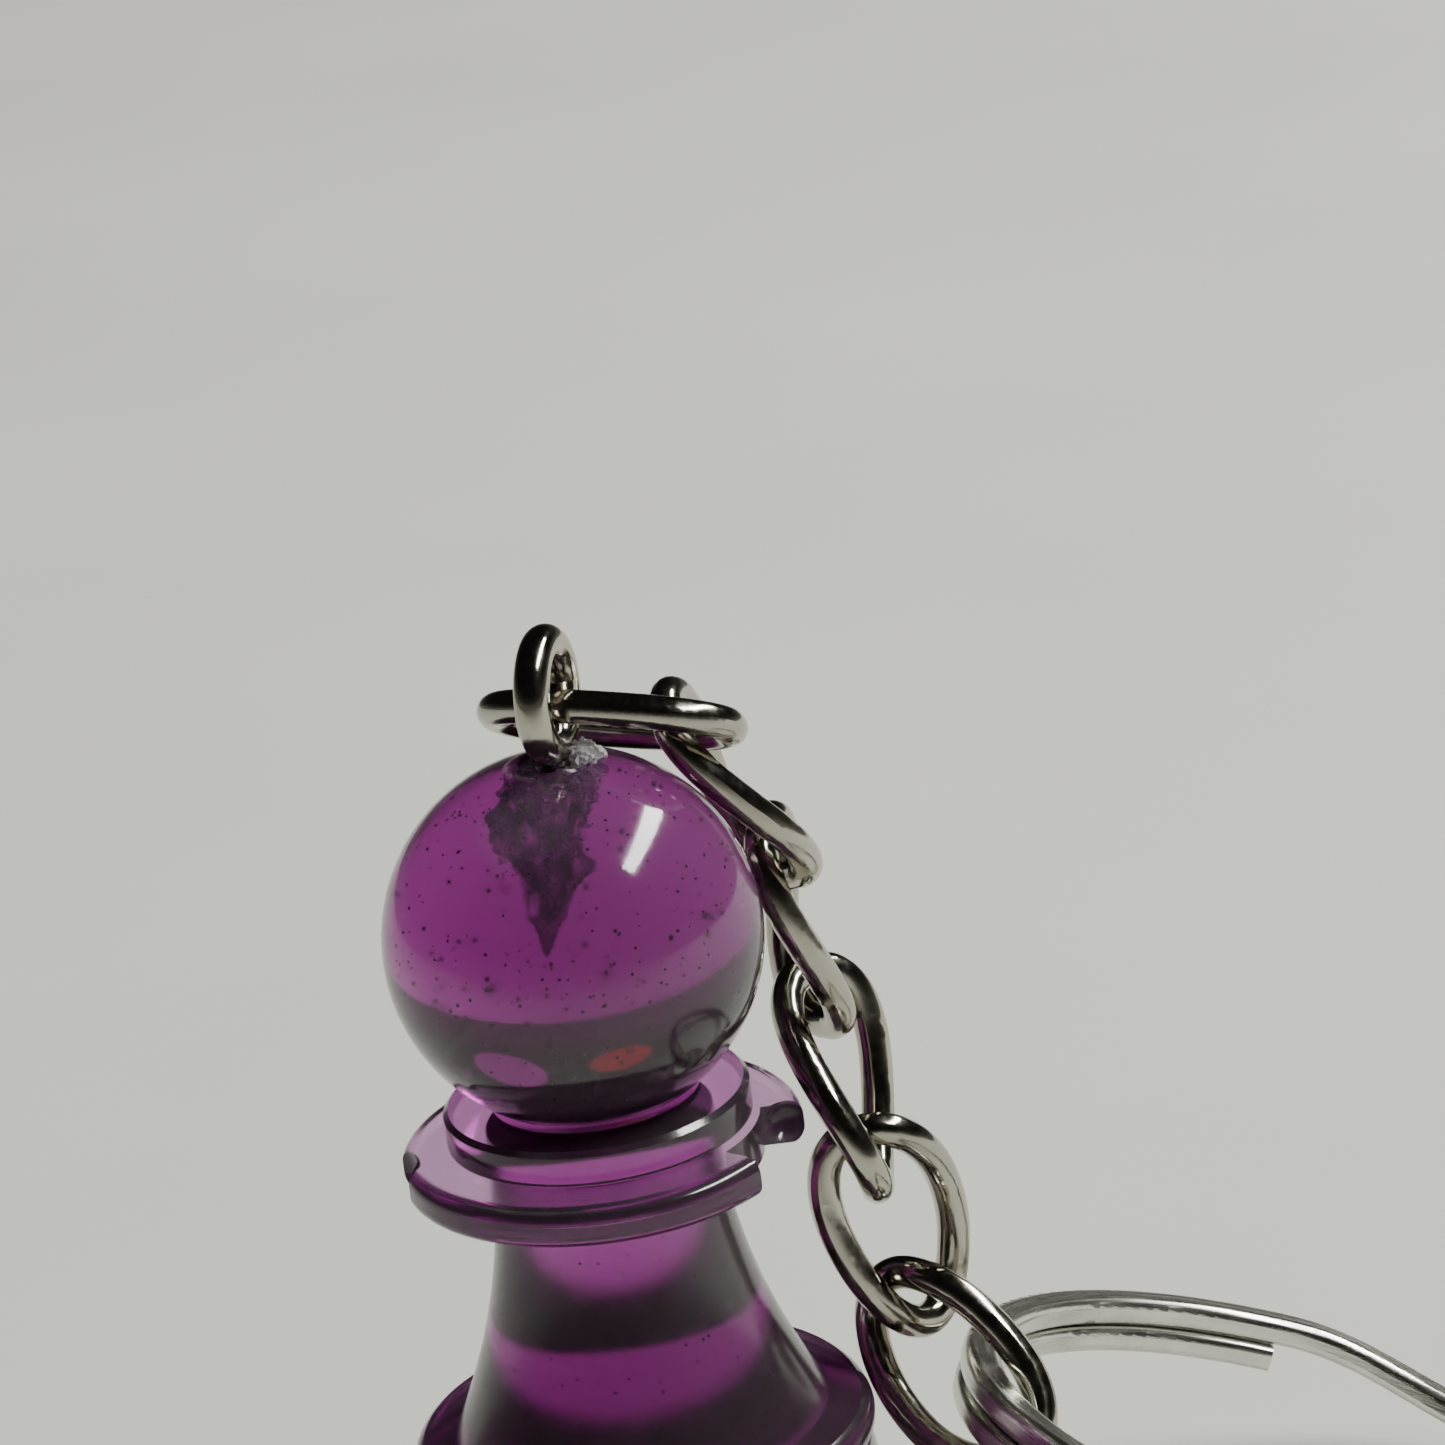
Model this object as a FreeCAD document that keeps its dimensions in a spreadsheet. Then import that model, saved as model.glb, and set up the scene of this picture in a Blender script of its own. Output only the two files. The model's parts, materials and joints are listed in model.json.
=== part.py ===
import FreeCAD, Part
import math
import os
import re

import Sketcher

# Chess-pawn keychain: a cast resin pawn, a screw eye glued into its head,
# one flat and five twisted links and a split ring. Millimetres, +Z up, the origin is
# the middle of the pawn's foot. The front is -Y and the chain falls to +X.

SIZES = [
    # cast pawn: radii and heights of the turned profile
    ("foot_radius", 12.3),
    ("foot_chamfer", 0.6),
    ("foot_side_top", 3.1),
    ("foot_shoulder_radius", 11.3),
    ("foot_shoulder_height", 4.2),
    ("foot_round", 1.5),
    ("base_bottom_radius", 10.9),
    ("base_bottom_height", 4.5),
    ("base_top_radius", 8.75),
    ("base_top_height", 10.9),
    ("base_hollow", 14.0),
    ("bead_radius", 8.55),
    ("bead_bottom", 11.0),
    ("bead_top", 12.6),
    ("bead_round", 0.95),
    ("stem_bottom_radius", 7.3),
    ("stem_bottom_height", 12.75),
    ("stem_top_radius", 4.35),
    ("stem_hollow", 26.0),
    ("flange_radius", 7.7),
    ("flange_bottom", 23.2),
    ("flange_top", 24.8),
    ("flange_round", 0.6),
    ("collar_radius", 5.86),
    ("collar_groove_radius", 5.5),
    ("collar_bottom", 25.0),
    ("collar_top", 26.32),
    ("collar_chamfer", 0.2),
    ("neck_radius", 4.0),
    ("head_radius", 7.2),
    ("head_height", 32.6),
    # chips broken out of the flange
    ("chip_start", -41.0),
    ("chip_sweep", 39.0),
    ("chip_depth_radius", 6.1),
    ("chip_scoop_radius", 0.95),
    ("left_chip_angle", 186.0),
    ("left_chip_distance", 8.7),
    ("left_chip_radius", 1.75),
    # screw eye and the tapered hole it sits in
    ("eye_offset", 0.34),
    ("eye_height", 42.2),
    ("eye_radius", 1.98),
    ("eye_wire", 1.36),
    ("eye_turn", 74.0),
    ("eye_shank", 0.9),
    ("screw_lean", 7.5),
    ("thread_pitch", 0.7),
    ("thread_top_radius", 1.05),
    ("thread_tip_radius", 0.36),
    ("thread_depth", 0.24),
    ("hole_depth", 7.0),
    ("hole_bottom_radius", 0.42),
    ("hole_top_radius", 1.5),
    # glue left round the screw
    ("plug_bottom", 38.2),
    ("plug_top", 39.5),
    ("plug_radius", 1.5),
    # one link; the first is left flat, the others are twisted
    ("link_half_length", 4.44),
    ("link_half_width", 2.42),
    ("link_wire", 1.3),
    ("link_twist", -28.0),
    ("link_squareness", 2.3),
    # split ring
    ("ring_outer_radius", 15.0),
    ("ring_wire_width", 1.5),
    ("ring_wire_height", 1.14),
    ("ring_corner", 0.4),
    ("ring_coil_gap", 0.06),
    ("ring_jog_start", -91.0),
    ("ring_jog_sweep", -36.0),
    ("ring_end_gap", 3.0),
]

THREAD_TURNS = 7
LINK_POINTS = 24
RING_JOG_STEPS = 8

# Where each link lies: centre, then yaw, pitch and roll of its long axis.
LINK_POSES = [
    (2.55, 1.78, 40.29, -6.4, 9.7, -29.5),
    (6.54, 3.1, 36.53, 16.4, 62.8, -178.8),
    (8.33, 4.78, 30.08, 37.0, 80.2, 29.9),
    (9.53, 3.5, 23.99, -75.1, 56.2, -46.6),
    (10.77, 2.33, 18.15, 28.5, 72.8, -87.1),
    (12.04, 0.01, 12.8, -51.3, 34.4, -129.8),
]
RING_POSE = (26.29, -0.43, 6.78, 177.2, -21.4, 7.4)

GLUE_DROPS = [
    (1.35, -0.25, 39.75, 0.62),
    (0.75, 0.35, 39.65, 0.60),
    (1.80, 0.10, 39.50, 0.45),
]


def make_sizes(doc):
    sheet = doc.addObject("Spreadsheet::Sheet", "sizes")
    for row, (name, value) in enumerate(SIZES, 1):
        sheet.set("A%d" % row, name)
        sheet.set("B%d" % row, str(value))
        sheet.setAlias("B%d" % row, name)
    doc.recompute()
    return sheet


def on_sheet(text):
    """Point every size name in an expression at the sheet."""
    return re.sub(r"[a-z]+(_[a-z]+)+", r"sizes.\g<0>", text)


def measure(sketch, text):
    return float(sketch.evalExpression(on_sheet(text)))


def arc_between(start, end, radius):
    """Arc from start to end; a positive radius bulges to the right of travel."""
    chord = end - start
    half = chord.Length / 2
    rise = abs(radius) - math.sqrt(radius * radius - half * half)
    side = FreeCAD.Vector(chord.y, -chord.x, 0).normalize()
    middle = (start + end) * 0.5 + side * math.copysign(rise, radius)
    return Part.ArcOfCircle(start, middle, end)


def end_index(sketch, geometry, point):
    """Sketcher's name, 1 or 2, for the end of a segment that lies at point."""
    start = sketch.getPoint(geometry, 1)
    end = sketch.getPoint(geometry, 2)
    return 1 if start.distanceToPoint(point) < end.distanceToPoint(point) else 2


def size_point(sketch, geometry, index, radius, height):
    """Tie one end of a segment to the sheet: radius across, height up."""
    for kind, axis, expression in (("DistanceX", -2, radius), ("DistanceY", -1, height)):
        if expression == "0":
            sketch.addConstraint(Sketcher.Constraint("PointOnObject", geometry, index, axis))
            continue
        value = measure(sketch, expression)
        row = sketch.addConstraint(Sketcher.Constraint(kind, -1, 1, geometry, index, value))
        sketch.setExpression("Constraints[%d]" % row, on_sheet(expression))


def draw_profile(sketch, steps):
    """Draw a closed profile. A step is (radius, height, bend), all sheet expressions;
    bend is the signed radius of the arc that arrives there, or None for a line."""
    points = []
    for radius, height, _ in steps:
        points.append(FreeCAD.Vector(measure(sketch, radius), measure(sketch, height), 0))
    for i, (_, _, bend) in enumerate(steps):
        if bend is None:
            segment = Part.LineSegment(points[i - 1], points[i])
        else:
            segment = arc_between(points[i - 1], points[i], measure(sketch, bend))
        sketch.addGeometry(segment, False)
    for i, (radius, height, bend) in enumerate(steps):
        following = (i + 1) % len(steps)
        here = end_index(sketch, i, points[i])
        there = end_index(sketch, following, points[i])
        sketch.addConstraint(Sketcher.Constraint("Coincident", i, here, following, there))
        size_point(sketch, i, here, radius, height)
        if bend is not None:
            row = sketch.addConstraint(Sketcher.Constraint("Radius", i, abs(measure(sketch, bend))))
            sketch.setExpression("Constraints[%d]" % row, on_sheet("abs(%s)" % bend))


def turned_body(doc, name, steps):
    """A body made by turning a closed profile about Z."""
    body = doc.addObject("PartDesign::Body", name)
    sketch = body.newObject("Sketcher::SketchObject", name + "_profile")
    plane = [f for f in body.Origin.OriginFeatures if f.Role == "XZ_Plane"][0]
    sketch.AttachmentSupport = [(plane, "")]
    sketch.MapMode = "FlatFace"
    draw_profile(sketch, steps)
    turn = body.newObject("PartDesign::Revolution", name + "_turn")
    turn.Profile = sketch
    turn.ReferenceAxis = (sketch, ["V_Axis"])
    turn.Angle = 360
    return body


def primitive(doc, kind, name, expressions, position=(0, 0, 0), rotation=None):
    """A Part primitive with its sizes bound to the sheet."""
    obj = doc.addObject("Part::" + kind, name)
    for prop, expression in expressions.items():
        obj.setExpression(prop, on_sheet(expression))
    obj.Placement = FreeCAD.Placement(FreeCAD.Vector(*position), rotation or FreeCAD.Rotation())
    return obj


def fuse(doc, name, shapes):
    joined = doc.addObject("Part::MultiFuse", name)
    joined.Shapes = shapes
    return joined


def cut(doc, name, base, tool):
    rest = doc.addObject("Part::Cut", name)
    rest.Base = base
    rest.Tool = tool
    return rest


def down_the_screw(sheet, depth):
    """The place this far below the eye's loop on the leaning screw, and its lean."""
    lean = FreeCAD.Rotation(FreeCAD.Vector(0, 1, 0), sheet.screw_lean)
    top = FreeCAD.Vector(sheet.eye_offset, 0, sheet.eye_height - sheet.eye_radius)
    return top - lean.multVec(FreeCAD.Vector(0, 0, depth)), lean


def pawn_steps():
    """The outline of the pawn from the middle of its foot to the top of its head."""
    return [
        ("0", "0", None),
        ("foot_radius - foot_chamfer", "0", None),
        ("foot_radius", "foot_chamfer", None),
        ("foot_radius", "foot_side_top", None),
        ("foot_shoulder_radius", "foot_shoulder_height", "foot_round"),
        ("base_bottom_radius", "base_bottom_height", None),
        ("base_top_radius", "base_top_height", "-base_hollow"),
        ("bead_radius", "bead_bottom", None),
        ("bead_radius", "bead_top", "bead_round"),
        ("stem_bottom_radius", "stem_bottom_height", None),
        ("stem_top_radius", "flange_bottom", "-stem_hollow"),
        ("flange_radius - flange_round", "flange_bottom", None),
        ("flange_radius", "flange_bottom + flange_round", "flange_round"),
        ("flange_radius", "flange_top - flange_round", None),
        ("flange_radius - flange_round", "flange_top", "flange_round"),
        ("collar_groove_radius", "flange_top", None),
        ("collar_groove_radius", "collar_bottom", None),
        ("collar_radius", "collar_bottom", None),
        ("collar_radius", "collar_top - collar_chamfer", None),
        ("collar_radius - collar_chamfer", "collar_top", None),
        ("neck_radius", "collar_top", None),
        ("neck_radius", "head_height - sqrt(head_radius^2 - neck_radius^2)", None),
        ("0", "head_height + head_radius", "head_radius"),
    ]


def make_pawn(doc, sheet):
    """The casting, less its flange chips and the hole for the screw."""
    turned = turned_body(doc, "pawn_turned", pawn_steps())
    z = FreeCAD.Vector(0, 0, 1)
    start = FreeCAD.Rotation(z, sheet.chip_start)
    floor = sheet.flange_bottom - 0.2
    sector = primitive(
        doc, "Cylinder", "chip_sector",
        {"Radius": "flange_radius + 1", "Height": "flange_top - flange_bottom + 0.3", "Angle": "chip_sweep"},
        (0, 0, floor), start,
    )
    core = primitive(
        doc, "Cylinder", "chip_core",
        {"Radius": "chip_depth_radius", "Height": "flange_top - flange_bottom + 0.3"},
        (0, 0, floor),
    )
    broken = cut(doc, "chip_right", sector, core)
    end = math.radians(sheet.chip_start + sheet.chip_sweep)
    reach = sheet.flange_radius - 0.7
    middle = (sheet.flange_bottom + sheet.flange_top) / 2
    scoop = primitive(
        doc, "Sphere", "chip_scoop", {"Radius": "chip_scoop_radius"},
        (reach * math.cos(end) + 0.1, reach * math.sin(end) - 0.35, middle + 0.1),
    )
    side = math.radians(sheet.left_chip_angle)
    left = primitive(
        doc, "Sphere", "chip_left", {"Radius": "left_chip_radius"},
        (sheet.left_chip_distance * math.cos(side), sheet.left_chip_distance * math.sin(side), middle + 0.2),
    )
    base, lean = down_the_screw(sheet, sheet.hole_depth)
    hole = primitive(
        doc, "Cone", "screw_hole",
        {"Radius1": "hole_bottom_radius", "Radius2": "hole_top_radius", "Height": "hole_depth"}, base, lean,
    )
    waste = fuse(doc, "pawn_waste", [broken, scoop, left, hole])
    return cut(doc, "pawn", turned, waste)


def thread_steps():
    """Outline of the tapered wood-screw thread, tip first, about its own Z axis."""
    taper = "thread_tip_radius + (thread_top_radius - thread_tip_radius) * %.4f"
    steps = [("0", "-thread_pitch * 1.2", None)]
    for turn in range(THREAD_TURNS):
        crest = taper % (turn / (THREAD_TURNS - 1))
        steps.append((crest + " - thread_depth", "thread_pitch * %.2f" % (turn - 0.45), None))
        steps.append((crest, "thread_pitch * %.2f" % turn, None))
    steps.append(("thread_top_radius - thread_depth", "thread_pitch * %.2f" % (THREAD_TURNS - 0.55), None))
    steps.append(("eye_wire / 2", "thread_pitch * %.2f" % THREAD_TURNS, None))
    steps.append(("eye_wire / 2", "thread_pitch * %.2f + eye_shank" % THREAD_TURNS, None))
    steps.append(("0", "thread_pitch * %.2f + eye_shank" % THREAD_TURNS, None))
    return steps


def make_screw_eye(doc, sheet):
    """A wire loop standing on a short shank with a tapered thread."""
    thread = turned_body(doc, "eye_thread", thread_steps())
    base, lean = down_the_screw(sheet, sheet.thread_pitch * THREAD_TURNS + sheet.eye_shank)
    thread.Placement = FreeCAD.Placement(base, lean)
    turn = FreeCAD.Rotation(FreeCAD.Vector(0, 0, 1), sheet.eye_turn)
    stand = FreeCAD.Rotation(FreeCAD.Vector(1, 0, 0), 90)
    loop = primitive(
        doc, "Torus", "eye_loop", {"Radius1": "eye_radius", "Radius2": "eye_wire / 2"},
        (sheet.eye_offset, 0, sheet.eye_height), turn.multiply(stand),
    )
    return fuse(doc, "screw_eye", [thread, loop])


def make_glue(doc, sheet, pawn, screw_eye):
    """Set glue: a plug in the mouth of the hole and a crumbled lump beside it."""
    drops = []
    for i, (x, y, z, radius) in enumerate(GLUE_DROPS, 1):
        drop = primitive(doc, "Sphere", "glue_drop_%d" % i, {}, (x, y, z))
        drop.Radius = radius
        drops.append(drop)
    plug = primitive(
        doc, "Cylinder", "glue_plug", {"Radius": "plug_radius", "Height": "plug_top - plug_bottom"},
        (sheet.eye_offset, 0, sheet.plug_bottom),
    )
    blob = fuse(doc, "glue_blob", drops + [plug])
    outside = cut(doc, "glue_outside", blob, pawn)
    return cut(doc, "glue_bead", outside, screw_eye)


def link_point(sheet, angle, twist):
    """A point on the wire's centreline: a squared oval twisted about its length."""
    across, up = math.cos(angle), math.sin(angle)
    power = 2 / sheet.link_squareness
    along = sheet.link_half_length * math.copysign(abs(across) ** power, across)
    beside = sheet.link_half_width * math.copysign(abs(up) ** power, up)
    turn = math.radians(twist) * along / sheet.link_half_length
    return FreeCAD.Vector(along, beside * math.cos(turn), beside * math.sin(turn))


def closed_solid(faces):
    shell = Part.Shell(faces)
    shell.sewShape()
    return Part.Solid(shell)


def link_path(sheet, twist):
    """The closed centreline of a link's wire."""
    points = [link_point(sheet, 2 * math.pi * i / LINK_POINTS, twist) for i in range(LINK_POINTS)]
    path = Part.BSplineCurve()
    path.interpolate(Points=points, PeriodicFlag=True)
    return path


def link_section(sheet, path):
    """The round section of the wire at the start of its path."""
    begin = path.FirstParameter
    return Part.Wire([Part.makeCircle(sheet.link_wire / 2, path.value(begin), path.tangent(begin)[0])])


def flat_link(sheet):
    path = link_path(sheet, 0)
    return Part.Wire([path.toShape()]).makePipeShell([link_section(sheet, path)], True, False)


def twisted_link(sheet):
    """One link. Half is swept and turned over, since the link is the same both ways up."""
    path = link_path(sheet, sheet.link_twist)
    spine = path.toShape(path.FirstParameter, path.getKnots()[LINK_POINTS // 2])
    half = Part.Wire([spine]).makePipeShell([link_section(sheet, path)], False, False)
    other = half.copy()
    other.rotate(FreeCAD.Vector(0, 0, 0), FreeCAD.Vector(0, 0, 1), 180)
    return closed_solid(half.Faces + other.Faces)


def make_links(doc, sheet):
    flat, twisted = flat_link(sheet), twisted_link(sheet)
    links = []
    for i, (x, y, z, yaw, pitch, roll) in enumerate(LINK_POSES, 1):
        link = doc.addObject("Part::Feature", "link_%d" % i)
        link.Shape = flat if i == 1 else twisted
        link.Placement = FreeCAD.Placement(FreeCAD.Vector(x, y, z), FreeCAD.Rotation(yaw, pitch, roll))
        links.append(link)
    return links


def ring_section(sheet, angle, level):
    """The rounded outline of the ring's wire, standing radially at one angle."""
    half_width = sheet.ring_wire_width / 2
    half_height = sheet.ring_wire_height / 2
    corner = sheet.ring_corner
    middle = sheet.ring_outer_radius - half_width
    edges = []
    inner_width, inner_height = half_width - corner, half_height - corner
    corners = [(1, 1, 0), (-1, 1, 90), (-1, -1, 180), (1, -1, 270)]
    ends = []
    for across, up, begin in corners:
        centre = FreeCAD.Vector(middle + across * inner_width, 0, level + up * inner_height)
        marks = []
        for step in (0, 45, 90):
            turn = math.radians(begin + step)
            marks.append(centre + FreeCAD.Vector(math.cos(turn), 0, math.sin(turn)) * corner)
        edges.append(Part.Arc(*marks).toShape())
        ends.append((marks[0], marks[2]))
    outline = []
    for i, edge in enumerate(edges):
        outline.append(edge)
        outline.append(Part.makeLine(ends[i][1], ends[(i + 1) % 4][0]))
    wire = Part.Wire(outline)
    wire.rotate(FreeCAD.Vector(0, 0, 0), FreeCAD.Vector(0, 0, 1), angle)
    return wire


def ring_shape(sheet):
    """Two flat coils joined where the wire steps from the upper level to the lower."""
    level = (sheet.ring_wire_height + sheet.ring_coil_gap) / 2
    begin, sweep = sheet.ring_jog_start, sheet.ring_jog_sweep
    turn = 360 + sweep - sheet.ring_end_gap
    origin, z = FreeCAD.Vector(0, 0, 0), FreeCAD.Vector(0, 0, 1)
    upper = Part.Face(ring_section(sheet, begin, level)).revolve(origin, z, turn)
    lower = Part.Face(ring_section(sheet, begin + sweep, -level)).revolve(origin, z, -turn)
    sections = []
    for i in range(RING_JOG_STEPS + 1):
        part = i / RING_JOG_STEPS
        fall = math.cos(math.pi * part)
        sections.append(ring_section(sheet, begin + sweep * part, level * fall))
    jog = Part.makeLoft(sections, True, False)
    return upper.fuse([jog, lower]).removeSplitter()


def make_ring(doc, sheet):
    x, y, z, yaw, pitch, roll = RING_POSE
    ring = doc.addObject("Part::Feature", "split_ring")
    ring.Shape = ring_shape(sheet)
    ring.Placement = FreeCAD.Placement(FreeCAD.Vector(x, y, z), FreeCAD.Rotation(yaw, pitch, roll))
    return ring


def export(parts):
    os.makedirs("parts", exist_ok=True)
    for part in parts:
        part.Label = part.Name
        part.Shape.exportStep("parts/%s.step" % part.Label)
        print(part.Label, round(part.Shape.Volume, 2), len(part.Shape.Solids))


def check(doc):
    for obj in doc.Objects:
        if "Invalid" in obj.State or "Error" in obj.State:
            raise RuntimeError("%s: %s" % (obj.Name, obj.State))
        shape = getattr(obj, "Shape", None)
        if shape is not None and (shape.isNull() or not shape.isValid()):
            raise RuntimeError("%s has a bad shape" % obj.Name)


def main():
    doc = FreeCAD.newDocument("pawn_keychain")
    sheet = make_sizes(doc)
    pawn = make_pawn(doc, sheet)
    screw_eye = make_screw_eye(doc, sheet)
    glue = make_glue(doc, sheet, pawn, screw_eye)
    links = make_links(doc, sheet)
    ring = make_ring(doc, sheet)
    doc.recompute()
    check(doc)
    export([pawn, screw_eye, glue] + links + [ring])


main()
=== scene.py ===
import json
import math
import random

import bmesh
import bpy
from mathutils import Matrix, Vector, noise


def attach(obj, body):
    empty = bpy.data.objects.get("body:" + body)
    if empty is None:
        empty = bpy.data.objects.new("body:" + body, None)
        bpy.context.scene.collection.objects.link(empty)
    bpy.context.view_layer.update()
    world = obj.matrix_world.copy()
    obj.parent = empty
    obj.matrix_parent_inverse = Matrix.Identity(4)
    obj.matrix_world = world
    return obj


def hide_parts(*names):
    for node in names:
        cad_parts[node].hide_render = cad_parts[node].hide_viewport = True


# Looks of the cast-resin chess pawn keychain. Metres, +Z up, the frame of the CAD model:
# the origin is the middle of the pawn's foot, the front is -Y and the chain falls to +X.

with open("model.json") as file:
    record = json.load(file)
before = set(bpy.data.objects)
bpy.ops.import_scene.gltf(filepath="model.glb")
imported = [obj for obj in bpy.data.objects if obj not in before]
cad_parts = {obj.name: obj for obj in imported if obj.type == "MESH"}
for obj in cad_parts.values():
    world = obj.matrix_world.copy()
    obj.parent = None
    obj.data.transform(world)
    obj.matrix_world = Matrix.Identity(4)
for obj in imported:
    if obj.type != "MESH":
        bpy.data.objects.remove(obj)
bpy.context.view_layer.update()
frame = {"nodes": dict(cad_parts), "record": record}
MM = 0.001
SEED = 11

# ---------------------------------------------------------------- places from the frame

HEAD_RADIUS = 7.2 * MM
HEAD_TOP = 39.8 * MM
HEAD_CENTRE = Vector((0, 0, HEAD_TOP - HEAD_RADIUS))
SCREW_X, SCREW_TOP, SCREW_LEAN = 0.34 * MM, 40.22 * MM, math.tan(math.radians(7.5))
MOUNTS = {mount["name"]: mount for mount in frame["record"]["mounts"]}
RING_CENTRE = Vector(MOUNTS["key_ring"]["pos_m"])
RING_AXIS = Vector(MOUNTS["key_ring"]["axis"]).normalized()


# ---------------------------------------------------------------- material helpers

def new_material(name, **values):
    """A material with one Principled shader, whose sockets take the given values."""
    material = bpy.data.materials.new(name)
    material.use_nodes = True
    shader = material.node_tree.nodes["Principled BSDF"]
    for socket, value in values.items():
        shader.inputs[socket.replace("_", " ")].default_value = value
    return material


def add_node(material, kind, settings=None, **inputs):
    """A new node; settings are its properties, inputs its sockets' values or links.

    An input is named by its socket, or i0, i1 and so on by its number.
    """
    node = material.node_tree.nodes.new(kind)
    for key, value in (settings or {}).items():
        setattr(node, key, value)
    for key, value in inputs.items():
        numbered = key[0] == "i" and key[1:].isdigit()
        socket = node.inputs[int(key[1:]) if numbered else key.replace("_", " ")]
        if isinstance(value, bpy.types.NodeSocket):
            material.node_tree.links.new(value, socket)
        else:
            socket.default_value = value
    return node


def shader_of(material):
    """The material's Principled shader."""
    return material.node_tree.nodes["Principled BSDF"]


def link(material, source, socket):
    """Wire an output into one of the Principled shader's sockets."""
    material.node_tree.links.new(source, shader_of(material).inputs[socket])


def position(material):
    """Where the shaded point is, in the frame's metres."""
    return add_node(material, "ShaderNodeTexCoord").outputs["Object"]


def noise_value(material, vector, scale, detail=4.0, rough=0.55):
    """Noise from 0 to 1, with scale waves to the metre."""
    node = add_node(material, "ShaderNodeTexNoise", Vector=vector, Scale=scale, Detail=detail,
                    Roughness=rough)
    return node.outputs["Fac"]


def ramp(material, value, stops):
    """A colour ramp; each stop is (place, colour) with the colour as three numbers."""
    node = add_node(material, "ShaderNodeValToRGB", Fac=value)
    points = node.color_ramp.elements
    while len(points) < len(stops):
        points.new(0.5)
    for point, (place, colour) in zip(points, stops):
        point.position = place
        point.color = (*colour, 1)
    return node.outputs["Color"]


def spread(material, value, low, high, to_low, to_high):
    """The value mapped from low..high to to_low..to_high."""
    node = add_node(material, "ShaderNodeMapRange", i0=value, i1=low, i2=high, i3=to_low, i4=to_high)
    return node.outputs["Result"]


def bump(material, height, strength, distance):
    """Fine relief from a height, on the Principled shader's normal."""
    node = add_node(material, "ShaderNodeBump", Height=height, Strength=strength, Distance=distance)
    link(material, node.outputs["Normal"], "Normal")


def dress(piece, material):
    """Give a piece this one material."""
    piece.data.materials.clear()
    piece.data.materials.append(material)


# ---------------------------------------------------------------- materials

# The head is polished and the stem is not; the finish changes across the collar.
HEAD_ROUGHNESS, STEM_ROUGHNESS = 0.075, 0.15
COLLAR_LOW, COLLAR_HIGH = 22 * MM, 27 * MM


def make_resin():
    """Violet casting resin: clear, tinted by its depth, with a faint haze and handling marks."""
    resin = new_material("violet_resin", Transmission_Weight=0.975, IOR=1.50)
    where = position(resin)
    cloud = noise_value(resin, where, 320.0)
    link(resin, ramp(resin, cloud, [(0.3, (0.88, 0.74, 0.88)), (0.7, (0.96, 0.86, 0.96))]), "Base Color")
    marks = noise_value(resin, where, 900.0, 6.0, 0.6)
    height = add_node(resin, "ShaderNodeSeparateXYZ", Vector=where).outputs["Z"]
    cast = spread(resin, height, COLLAR_LOW, COLLAR_HIGH, STEM_ROUGHNESS, HEAD_ROUGHNESS)
    worn = spread(resin, marks, 0.35, 0.75, 0.0, 0.07)
    both = add_node(resin, "ShaderNodeMath", {"operation": "ADD"}, i0=cast, i1=worn)
    link(resin, both.outputs[0], "Roughness")
    bump(resin, noise_value(resin, where, 420.0, 3.0, 0.5), 0.12, 0.00004)
    depth = add_node(resin, "ShaderNodeVolumeAbsorption", Color=(0.75, 0.30, 0.725, 1), Density=430.0)
    output = resin.node_tree.nodes["Material Output"]
    resin.node_tree.links.new(depth.outputs["Volume"], output.inputs["Volume"])
    return resin


def make_nickel():
    """Bright nickel plate on drawn wire: warm grey, faint orange peel and rub marks."""
    nickel = new_material("bright_nickel", Metallic=1.0)
    where = position(nickel)
    tone = noise_value(nickel, where, 260.0, 5.0, 0.6)
    grey = ramp(nickel, tone, [(0.3, (0.34, 0.32, 0.27)), (0.7, (0.46, 0.44, 0.38))])
    link(nickel, grey, "Base Color")
    rub = noise_value(nickel, where, 1400.0, 6.0, 0.65)
    link(nickel, spread(nickel, rub, 0.3, 0.75, 0.06, 0.24), "Roughness")
    bump(nickel, noise_value(nickel, where, 1800.0, 4.0, 0.6), 0.1, 0.00003)
    return nickel


# A turn round the coil counts for this many metres of noise, so the drawing lines run round it.
TURN_STRETCH = 0.0006


def make_ring_steel():
    """Spring steel of the split ring: satin plate with drawing lines round the coil."""
    steel = new_material("satin_ring_steel", Metallic=1.0)
    across = RING_AXIS.orthogonal().normalized()
    along = RING_AXIS.cross(across)
    where = position(steel)
    local = add_node(steel, "ShaderNodeVectorMath", {"operation": "SUBTRACT"}, i0=where, i1=RING_CENTRE)
    parts = []
    for direction in (across, along, RING_AXIS):
        node = add_node(steel, "ShaderNodeVectorMath", {"operation": "DOT_PRODUCT"},
                        i0=local.outputs["Vector"], i1=direction)
        parts.append(node.outputs["Value"])
    square = [add_node(steel, "ShaderNodeMath", {"operation": "POWER"}, i0=part, i1=2.0).outputs[0]
              for part in parts[:2]]
    both = add_node(steel, "ShaderNodeMath", {"operation": "ADD"}, i0=square[0], i1=square[1])
    radius = add_node(steel, "ShaderNodeMath", {"operation": "SQRT"}, i0=both.outputs[0])
    turn = add_node(steel, "ShaderNodeMath", {"operation": "ARCTAN2"}, i0=parts[0], i1=parts[1])
    slow = add_node(steel, "ShaderNodeMath", {"operation": "MULTIPLY"}, i0=turn.outputs[0], i1=TURN_STRETCH)
    drawn = add_node(steel, "ShaderNodeCombineXYZ", X=radius.outputs[0], Y=parts[2], Z=slow.outputs[0])
    lines = noise_value(steel, drawn.outputs[0], 5200.0, 3.0, 0.6)
    wear = noise_value(steel, where, 500.0, 5.0, 0.6)
    link(steel, ramp(steel, wear, [(0.3, (0.60, 0.60, 0.55)), (0.7, (0.72, 0.72, 0.66))]), "Base Color")
    link(steel, spread(steel, lines, 0.25, 0.75, 0.16, 0.34), "Roughness")
    bump(steel, lines, 0.35, 0.00003)
    return steel


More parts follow.
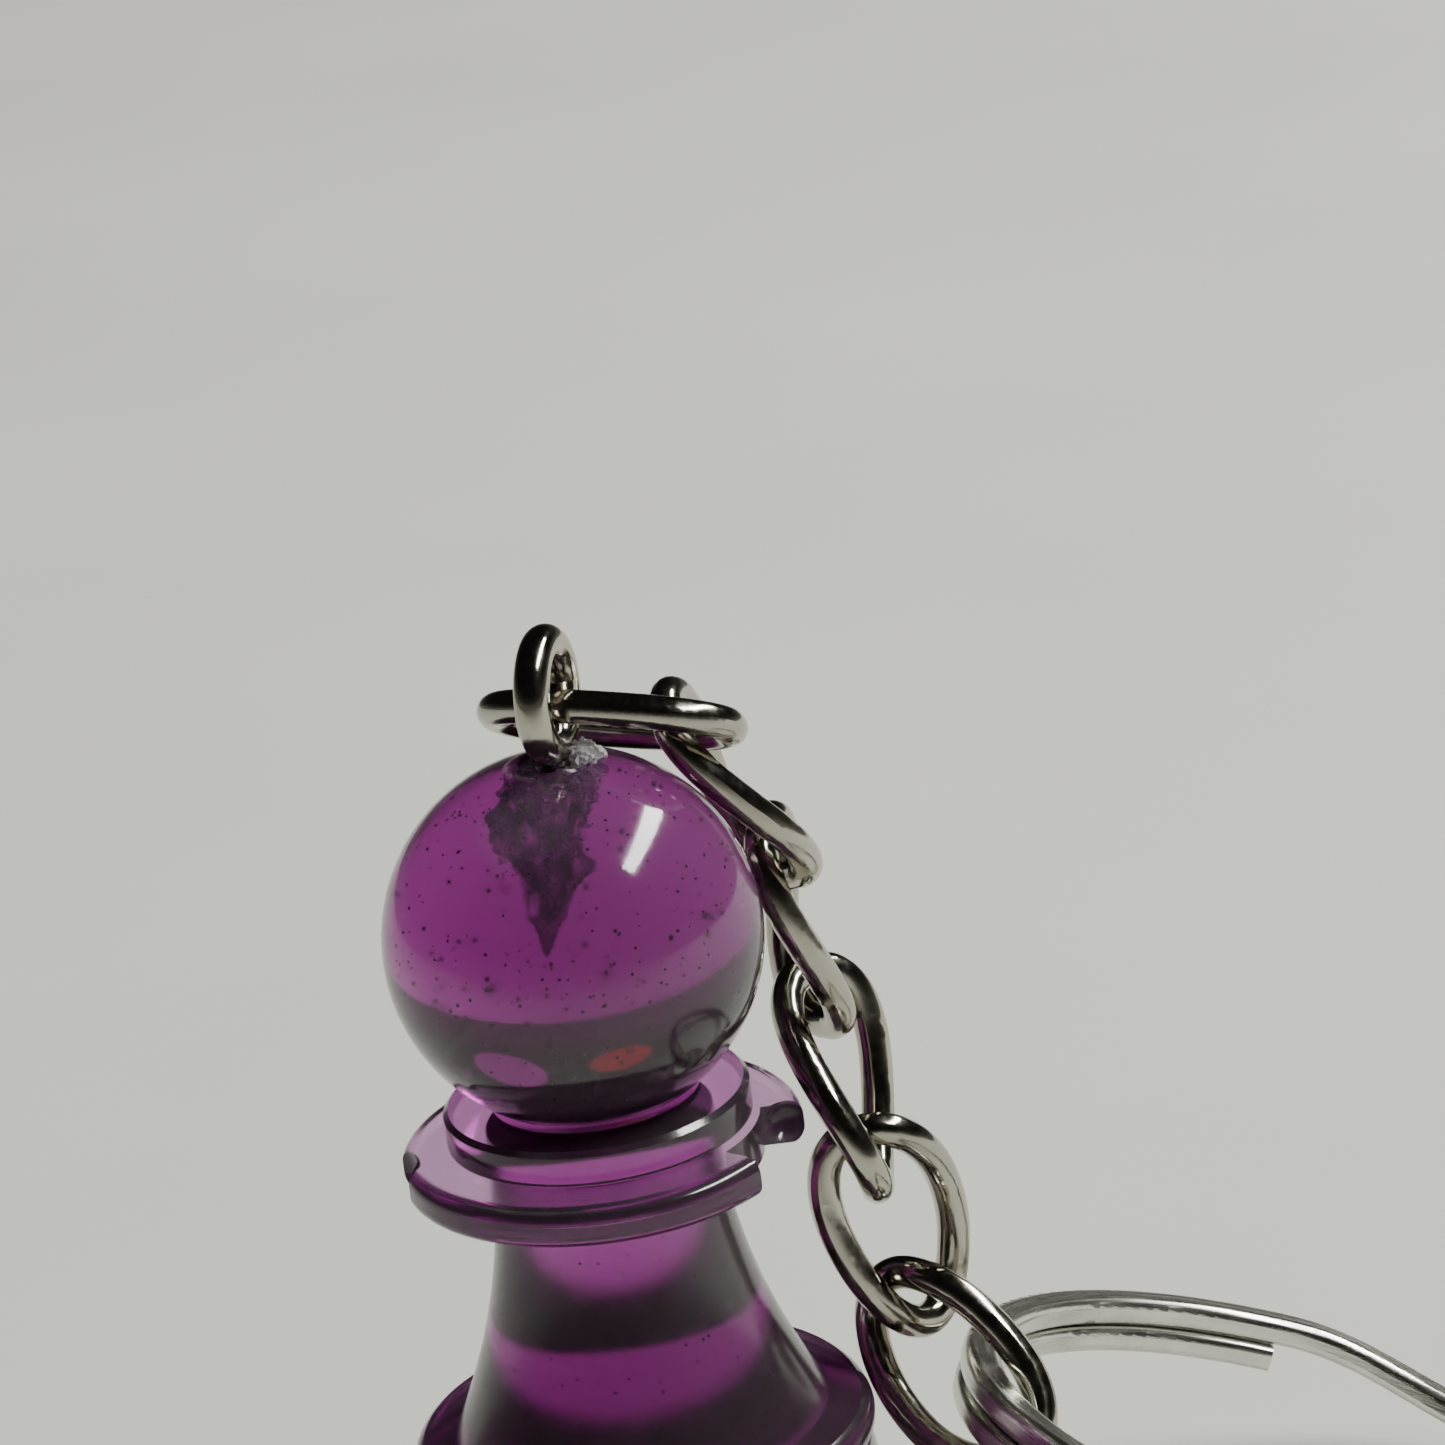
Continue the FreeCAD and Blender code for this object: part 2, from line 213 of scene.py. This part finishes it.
# How far past the screw's axis along X the glue stays dark, and where it has turned white.
DARK_SIDE_END, WHITE_START = 0.2 * MM, 0.5 * MM


def make_glue():
    """Set glue: clouded white towards +X and dark towards -X, changing just past the screw's axis."""
    glue = new_material("clouded_glue", Transmission_Weight=0.15, IOR=1.48)
    where = position(glue)
    cloud = noise_value(glue, where, 1500.0, 5.0, 0.65)
    white = ramp(glue, cloud, [(0.3, (0.70, 0.66, 0.72)), (0.6, (0.98, 0.97, 0.98))])
    # The glue's dark colour, used on its side towards -X.
    dark_side = ramp(glue, cloud, [(0.3, (0.05, 0.02, 0.06)), (0.7, (0.20, 0.12, 0.22))])
    sideways = add_node(glue, "ShaderNodeSeparateXYZ", Vector=where).outputs["X"]
    outside = spread(glue, sideways, SCREW_X + DARK_SIDE_END, SCREW_X + WHITE_START, 0.0, 1.0)
    mixed = add_node(glue, "ShaderNodeMix", {"data_type": "RGBA"}, i0=outside, i6=dark_side, i7=white)
    link(glue, mixed.outputs[2], "Base Color")
    link(glue, spread(glue, cloud, 0.3, 0.7, 0.25, 0.6), "Roughness")
    bump(glue, noise_value(glue, where, 3200.0, 4.0, 0.6), 0.6, 0.00005)
    return glue


def make_torn_resin():
    """Resin torn up by the screw thread: dull, dark violet and mottled."""
    torn = new_material("torn_resin", IOR=1.3)
    where = position(torn)
    mottle = noise_value(torn, where, 1100.0, 4.0, 0.55)
    link(torn, ramp(torn, mottle, [(0.32, (0.07, 0.02, 0.07)), (0.5, (0.36, 0.14, 0.36)),
                                     (0.7, (0.80, 0.50, 0.80))]), "Base Color")
    link(torn, spread(torn, mottle, 0.3, 0.7, 0.45, 0.8), "Roughness")
    gaps = noise_value(torn, where, 750.0, 4.0, 0.6)
    link(torn, spread(torn, gaps, 0.38, 0.58, 0.85, 0.03), "Alpha")
    return torn


def make_speck():
    """Specks of pigment that did not dissolve."""
    speck = new_material("pigment_speck", IOR=1.3)
    tone = noise_value(speck, position(speck), 900.0)
    dark = ramp(speck, tone, [(0.35, (0.015, 0.003, 0.03)), (0.7, (0.07, 0.015, 0.10))])
    link(speck, dark, "Base Color")
    link(speck, spread(speck, tone, 0.3, 0.7, 0.4, 0.7), "Roughness")
    return speck


def make_bubble():
    """Air bubbles: light bends the other way going into them."""
    bubble = new_material("air_bubble", Transmission_Weight=1.0, IOR=0.65)
    tone = noise_value(bubble, position(bubble), 1200.0)
    link(bubble, ramp(bubble, tone, [(0.3, (0.95, 0.9, 0.96)), (0.7, (1, 1, 1))]), "Base Color")
    link(bubble, spread(bubble, tone, 0.3, 0.7, 0.0, 0.05), "Roughness")
    return bubble


# How far along Y the table's painted shadow starts, and where it is darkest.
PAINTED_SHADOW_START, PAINTED_SHADOW_FULL = -50 * MM, -200 * MM


def make_floor_paint():
    """Pale, slightly warm grey table top, with a painted shadow that darkens it well in front of the pawn.
    """
    paint = new_material("pale_floor_painted_shadow", IOR=1.3)
    shade = noise_value(paint, position(paint), 14.0, 3.0, 0.5)
    pale = ramp(paint, shade, [(0.3, (0.66, 0.67, 0.62)), (0.7, (0.70, 0.71, 0.66))])
    # Painted shadow: the darker colour the table turns to towards -Y.
    painted_shadow_colour = ramp(paint, shade, [(0.3, (0.26, 0.26, 0.24)), (0.7, (0.30, 0.30, 0.28))])
    ahead = add_node(paint, "ShaderNodeSeparateXYZ", Vector=position(paint)).outputs["Y"]
    # How much of the pale colour stays: none where the painted shadow is full.
    lit = spread(paint, ahead, PAINTED_SHADOW_FULL, PAINTED_SHADOW_START, 0.0, 1.0)
    mixed = add_node(paint, "ShaderNodeMix", {"data_type": "RGBA"}, i0=lit, i6=painted_shadow_colour, i7=pale)
    link(paint, mixed.outputs[2], "Base Color")
    link(paint, spread(paint, shade, 0.3, 0.7, 0.55, 0.65), "Roughness")
    return paint


# ---------------------------------------------------------------- pieces inside the resin

def make_piece(name, data, material, body):
    """A new piece that rides on a body and takes its finish from a slot."""
    piece = bpy.data.objects.new(name, data)
    bpy.context.scene.collection.objects.link(piece)
    dress(piece, material)
    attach(piece, body)
    return piece


HEAD_BOTTOM, FLANGE_BOTTOM, STEM_BOTTOM = 26.6 * MM, 23.2 * MM, 12.8 * MM
COLLAR_REACH, BASE_REACH = 5.4 * MM, 8.2 * MM
STEM_LENGTH, STEM_TOP_REACH, STEM_FLARE = 10.4 * MM, 4.3, 3.0


def profile_radius(height):
    """How far from the axis a speck may lie at this height."""
    if height > HEAD_BOTTOM:
        lift = height - HEAD_CENTRE.z
        return math.sqrt(max(0.0, HEAD_RADIUS ** 2 - lift ** 2))
    if height >= FLANGE_BOTTOM:
        return COLLAR_REACH
    if height > STEM_BOTTOM:
        down = (FLANGE_BOTTOM - height) / STEM_LENGTH
        return (STEM_TOP_REACH + STEM_FLARE * down ** 1.5) * MM
    return BASE_REACH


SCREW_TIP, SCREW_CLEARANCE = 32.5 * MM, 2.2 * MM


def random_place(draw, low, high, shrink):
    """A point inside the casting between two heights, clear of the screw."""
    while True:
        height = draw.uniform(low, high)
        reach = profile_radius(height) - shrink
        angle, share = draw.uniform(0, 2 * math.pi), math.sqrt(draw.random())
        point = Vector((reach * share * math.cos(angle), reach * share * math.sin(angle), height))
        aside = math.hypot(point.x - SCREW_X, point.y)
        if reach > 0 and (height < SCREW_TIP or aside > SCREW_CLEARANCE):
            return point


def unit_ball():
    """Corners and faces of a small round ball of radius 1."""
    mesh = bmesh.new()
    bmesh.ops.create_icosphere(mesh, subdivisions=2, radius=1.0)
    mesh.verts.index_update()
    corners = [vertex.co.copy() for vertex in mesh.verts]
    faces = [tuple(vertex.index for vertex in face.verts) for face in mesh.faces]
    mesh.free()
    return corners, faces


# Heights in mm that hold specks, the head's share of them, and the clear skin of the casting.
HEAD_BAND, STEM_BAND, HEAD_SHARE, SKIN = (26.9, 39.0), (6.0, 23.0), 0.72, 0.25 * MM


def scatter(name, count, small, large, material, seed):
    """Many tiny balls: most in the head, the others in the stem and the base."""
    draw = random.Random(seed)
    ball, ball_faces = unit_ball()
    corners, faces = [], []
    for _ in range(count):
        low, high = HEAD_BAND if draw.random() < HEAD_SHARE else STEM_BAND
        point = random_place(draw, low * MM, high * MM, SKIN)
        size = draw.uniform(small, large)
        tall = size * draw.uniform(0.8, 1.3)
        first = len(corners)
        corners += [point + Vector((v.x * size, v.y * size, v.z * tall)) for v in ball]
        faces += [tuple(first + index for index in face) for face in ball_faces]
    data = bpy.data.meshes.new(name)
    data.from_pydata(corners, [], faces)
    data.shade_smooth()
    return make_piece(name, data, material, "pawn")


# Outlines of the torn resin and of the screw's hole in it: (height, radius) from the screw's axis,
# top first, in mm.
TORN_LEFT = [(39.2, 0.9), (38.8, 1.25), (38.2, 1.5), (37.4, 1.55), (36.9, 1.4), (36.3, 1.75),
             (35.6, 1.6), (35.2, 1.05), (34.7, 0.75), (33.9, 0.55), (33.0, 0.3), (32.2, 0.04)]
TORN_RIGHT = [(39.2, 1.5), (38.8, 1.75), (38.2, 1.7), (37.6, 1.45), (36.8, 1.25), (36.1, 1.1),
              (35.4, 0.85), (34.9, 0.9), (34.5, 1.3), (34.1, 0.8), (33.4, 0.5), (32.2, 0.04)]
HOLE = [(40.2, 1.5), (33.28, 0.42)]
# The torn resin's inside stands this far from the hole's wall and its outside at least this far,
# down to these heights, in mm.
INSIDE_GAP, OUTSIDE_GAP = 0.06, 0.12
INSIDE_BOTTOM, OUTSIDE_BOTTOM = 33.3, 33.2
TORN_AROUND, TORN_ROWS, INSIDE_ROWS = 72, 100, 12


def along(points, height):
    """The radius at a height on an outline of (height, radius) pairs, top first."""
    for (top, wide), (low, narrow) in zip(points, points[1:]):
        if height >= low:
            return narrow + (wide - narrow) * (height - low) / (top - low)
    return points[-1][1]


def screw_axis(height):
    """Where the leaning screw's axis crosses this height, in mm."""
    return SCREW_X / MM - SCREW_LEAN * (SCREW_TOP / MM - height)


def beside_screw(mesh, angle, radius, height, sag=0.0):
    """A new corner at this angle and radius from the screw's axis, in mm."""
    return mesh.verts.new(((screw_axis(height) + radius * math.cos(angle)) * MM,
                           radius * math.sin(angle) * MM, (height + sag) * MM))


def torn_ring(mesh, height):
    """One ring of corners of the torn resin's outside."""
    left, right = along(TORN_LEFT, height), along(TORN_RIGHT, height)
    least = along(HOLE, height) + OUTSIDE_GAP if height > OUTSIDE_BOTTOM else 0.0
    ring = []
    for index in range(TORN_AROUND):
        angle = 2 * math.pi * index / TORN_AROUND
        probe = Vector((math.cos(angle) * 1.6, math.sin(angle) * 1.6, height * 1.1))
        flakes = abs(noise.noise(probe * 2.0 + Vector((0, SEED, 0))))
        tears = noise.fractal(probe * 4.5, 0.8, 2.1, 5)
        wide = left + (right - left) * (0.5 + 0.5 * math.cos(angle))
        radius = max(least, wide * (0.9 + 0.35 * flakes + 0.14 * tears))
        sag = 0.18 * noise.noise(probe * 3.1)
        ring.append(beside_screw(mesh, angle, radius, height, sag))
    return ring


def inside_ring(mesh, height):
    """One ring of corners of the torn resin's inside, close round the hole."""
    radius = along(HOLE, height) + INSIDE_GAP
    return [beside_screw(mesh, 2 * math.pi * index / TORN_AROUND, radius, height)
            for index in range(TORN_AROUND)]


def make_fracture(material):
    """Resin torn up round the screw: ragged lobes that taper to a point below its tip."""
    mesh = bmesh.new()
    top, tip = TORN_LEFT[0][0], TORN_LEFT[-1][0]
    outer = [torn_ring(mesh, top + (tip - top) * row / TORN_ROWS) for row in range(TORN_ROWS + 1)]
    inner = [inside_ring(mesh, INSIDE_BOTTOM + (top - INSIDE_BOTTOM) * row / INSIDE_ROWS)
             for row in range(INSIDE_ROWS + 1)]
    bands = list(zip(outer, outer[1:])) + list(zip(inner, inner[1:])) + [(inner[-1], outer[0])]
    for first, second in bands:
        for index in range(TORN_AROUND):
            after = (index + 1) % TORN_AROUND
            mesh.faces.new((first[index], second[index], second[after], first[after]))
    mesh.faces.new(outer[-1])
    mesh.faces.new(inner[0][::-1])
    bmesh.ops.recalc_face_normals(mesh, faces=mesh.faces)
    data = bpy.data.meshes.new("screw_fracture")
    mesh.to_mesh(data)
    mesh.free()
    return make_piece("screw_fracture", data, material, "pawn")


CRUMB_GRAIN, CRUMB_RELIEF, CRUMB_SHRINK, CRUMB_SCALE = 0.055 * MM, 0.13, 0.07, 2600


def make_glue_crumbs(material):
    """The glue bead with a crumbled surface."""
    bead = frame["nodes"]["glue_bead"]
    piece = bpy.data.objects.new("glue_crumbs", bead.data.copy())
    bpy.context.scene.collection.objects.link(piece)
    remesh = piece.modifiers.new("even", "REMESH")
    remesh.mode, remesh.voxel_size = "VOXEL", CRUMB_GRAIN
    graph = bpy.context.evaluated_depsgraph_get()
    data = bpy.data.meshes.new_from_object(piece.evaluated_get(graph))
    piece.modifiers.clear()
    piece.data = data
    for vertex in data.vertices:
        rough = noise.fractal(vertex.co * CRUMB_SCALE, 0.6, 2.2, 5)
        vertex.co += vertex.normal * (rough * CRUMB_RELIEF - CRUMB_SHRINK) * MM
    dress(piece, material)
    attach(piece, "pawn")
    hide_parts("glue_bead")
    return piece


# ---------------------------------------------------------------- room, lights and camera

FLOOR_RADIUS, FLOOR_DROP = 0.42, 0.02 * MM


def make_floor(material):
    """A round table top just under the pawn's foot."""
    mesh = bmesh.new()
    bmesh.ops.create_circle(mesh, cap_ends=True, radius=FLOOR_RADIUS, segments=96)
    data = bpy.data.meshes.new("floor")
    mesh.to_mesh(data)
    mesh.free()
    floor = bpy.data.objects.new("floor", data)
    floor.location.z = -FLOOR_DROP
    bpy.context.scene.collection.objects.link(floor)
    dress(floor, material)


def area_light(name, place, long_way, size, power, colour):
    """A rectangular lamp that faces the pawn, its longer side turned the given way."""
    lamp = bpy.data.lights.new(name, "AREA")
    lamp.shape, lamp.size, lamp.size_y = "RECTANGLE", size[0], size[1]
    lamp.energy, lamp.color = power, colour
    holder = bpy.data.objects.new(name, lamp)
    back = (Vector(place) - HEAD_CENTRE).normalized()
    side = Vector(long_way).cross(back).normalized()
    turn = Matrix((side, back.cross(side), back)).transposed().to_4x4()
    holder.matrix_world = Matrix.Translation(place) @ turn
    bpy.context.scene.collection.objects.link(holder)
    return holder


# Far small lights seen through the head: name, direction from it, height and width, power, colour.
GLOWS = [("pink_window", (0.31, 0.945, 0.19), (0.13, 0.20), 0.040, (1.0, 0.70, 0.90)),
         ("orange_lamp", (-0.15, 0.975, 0.15), (0.075, 0.15), 0.0165, (1.0, 0.11, 0.045))]
GLOW_DISTANCE = 0.6


def make_lights():
    """A strip lamp, a soft overhead lamp that leaves no reflection, the far lights and the room."""
    area_light("strip", (0.56, 0.08, 0.64), (0.13, 1, 0), (0.11, 0.85), 11.4, (1.0, 0.99, 0.955))
    overhead = area_light("soft_overhead", (-0.25, 0.1, 0.9), (1, 0, 0), (0.7, 0.7), 3.6,
                          (1.0, 1.0, 1.0))
    overhead.visible_glossy = False
    for name, toward, size, power, colour in GLOWS:
        place = HEAD_CENTRE + Vector(toward).normalized() * GLOW_DISTANCE
        glow = area_light(name, place, (1, 0, 0), size, power, colour)
        glow.data.shape = "ELLIPSE"
        glow.visible_camera = glow.visible_glossy = False
    make_room()


# The room's brightness by how high one looks: (height of the direction, colour).
ROOM_SHADES = [(0.0, (0.16, 0.155, 0.145)), (0.10, (0.045, 0.042, 0.038)), (0.30, (0.012, 0.011, 0.010))]


def make_room():
    """A dim room, paler at the horizon."""
    world = bpy.data.worlds.new("dim_room")
    world.use_nodes = True
    tree = world.node_tree
    bpy.context.scene.world = world
    direction = tree.nodes.new("ShaderNodeTexCoord").outputs["Generated"]
    split = tree.nodes.new("ShaderNodeSeparateXYZ")
    fade = tree.nodes.new("ShaderNodeValToRGB")
    tree.links.new(direction, split.inputs[0])
    tree.links.new(split.outputs["Z"], fade.inputs["Fac"])
    fade.color_ramp.elements.new(0.5)
    for point, (place, colour) in zip(fade.color_ramp.elements, ROOM_SHADES):
        point.position = place
        point.color = (*colour, 1)
    tree.links.new(fade.outputs["Color"], tree.nodes["Background"].inputs["Color"])


CAMERA_ELEVATION, CAMERA_ROLL = math.radians(19.13), math.radians(7.62)
CAMERA_DISTANCE, CAMERA_LENS = 200 * MM, 134.5
AIM_FROM_HEAD_TOP = Vector((6.62, 0, 0.43)) * MM


def make_camera():
    """Low front view of the head and chain, leaning a little to one side."""
    data = bpy.data.cameras.new("camera")
    data.lens, data.sensor_width = CAMERA_LENS, 36.0
    camera = bpy.data.objects.new("camera", data)
    bpy.context.scene.collection.objects.link(camera)
    back = Vector((0, -math.cos(CAMERA_ELEVATION), math.sin(CAMERA_ELEVATION)))
    level_up = Vector((0, math.sin(CAMERA_ELEVATION), math.cos(CAMERA_ELEVATION)))
    right = math.cos(CAMERA_ROLL) * Vector((1, 0, 0)) - math.sin(CAMERA_ROLL) * level_up
    up = back.cross(right)
    target = Vector((0, 0, HEAD_TOP)) + AIM_FROM_HEAD_TOP
    turn = Matrix((right, up, back)).transposed().to_4x4()
    camera.matrix_world = Matrix.Translation(target + back * CAMERA_DISTANCE) @ turn
    data.clip_start = 5 * MM
    bpy.context.scene.camera = camera


# ---------------------------------------------------------------- the scene

make_camera()
make_lights()
make_floor(make_floor_paint())

nickel = make_nickel()
for name, node in frame["nodes"].items():
    if name.startswith("link_") or name == "screw_eye":
        dress(node, nickel)
dress(frame["nodes"]["split_ring"], make_ring_steel())
dress(frame["nodes"]["pawn"], make_resin())

make_glue_crumbs(make_glue())
make_fracture(make_torn_resin())
scatter("pigment_specks", 800, 0.028 * MM, 0.062 * MM, make_speck(), SEED)
scatter("air_bubbles", 140, 0.02 * MM, 0.05 * MM, make_bubble(), SEED + 1)
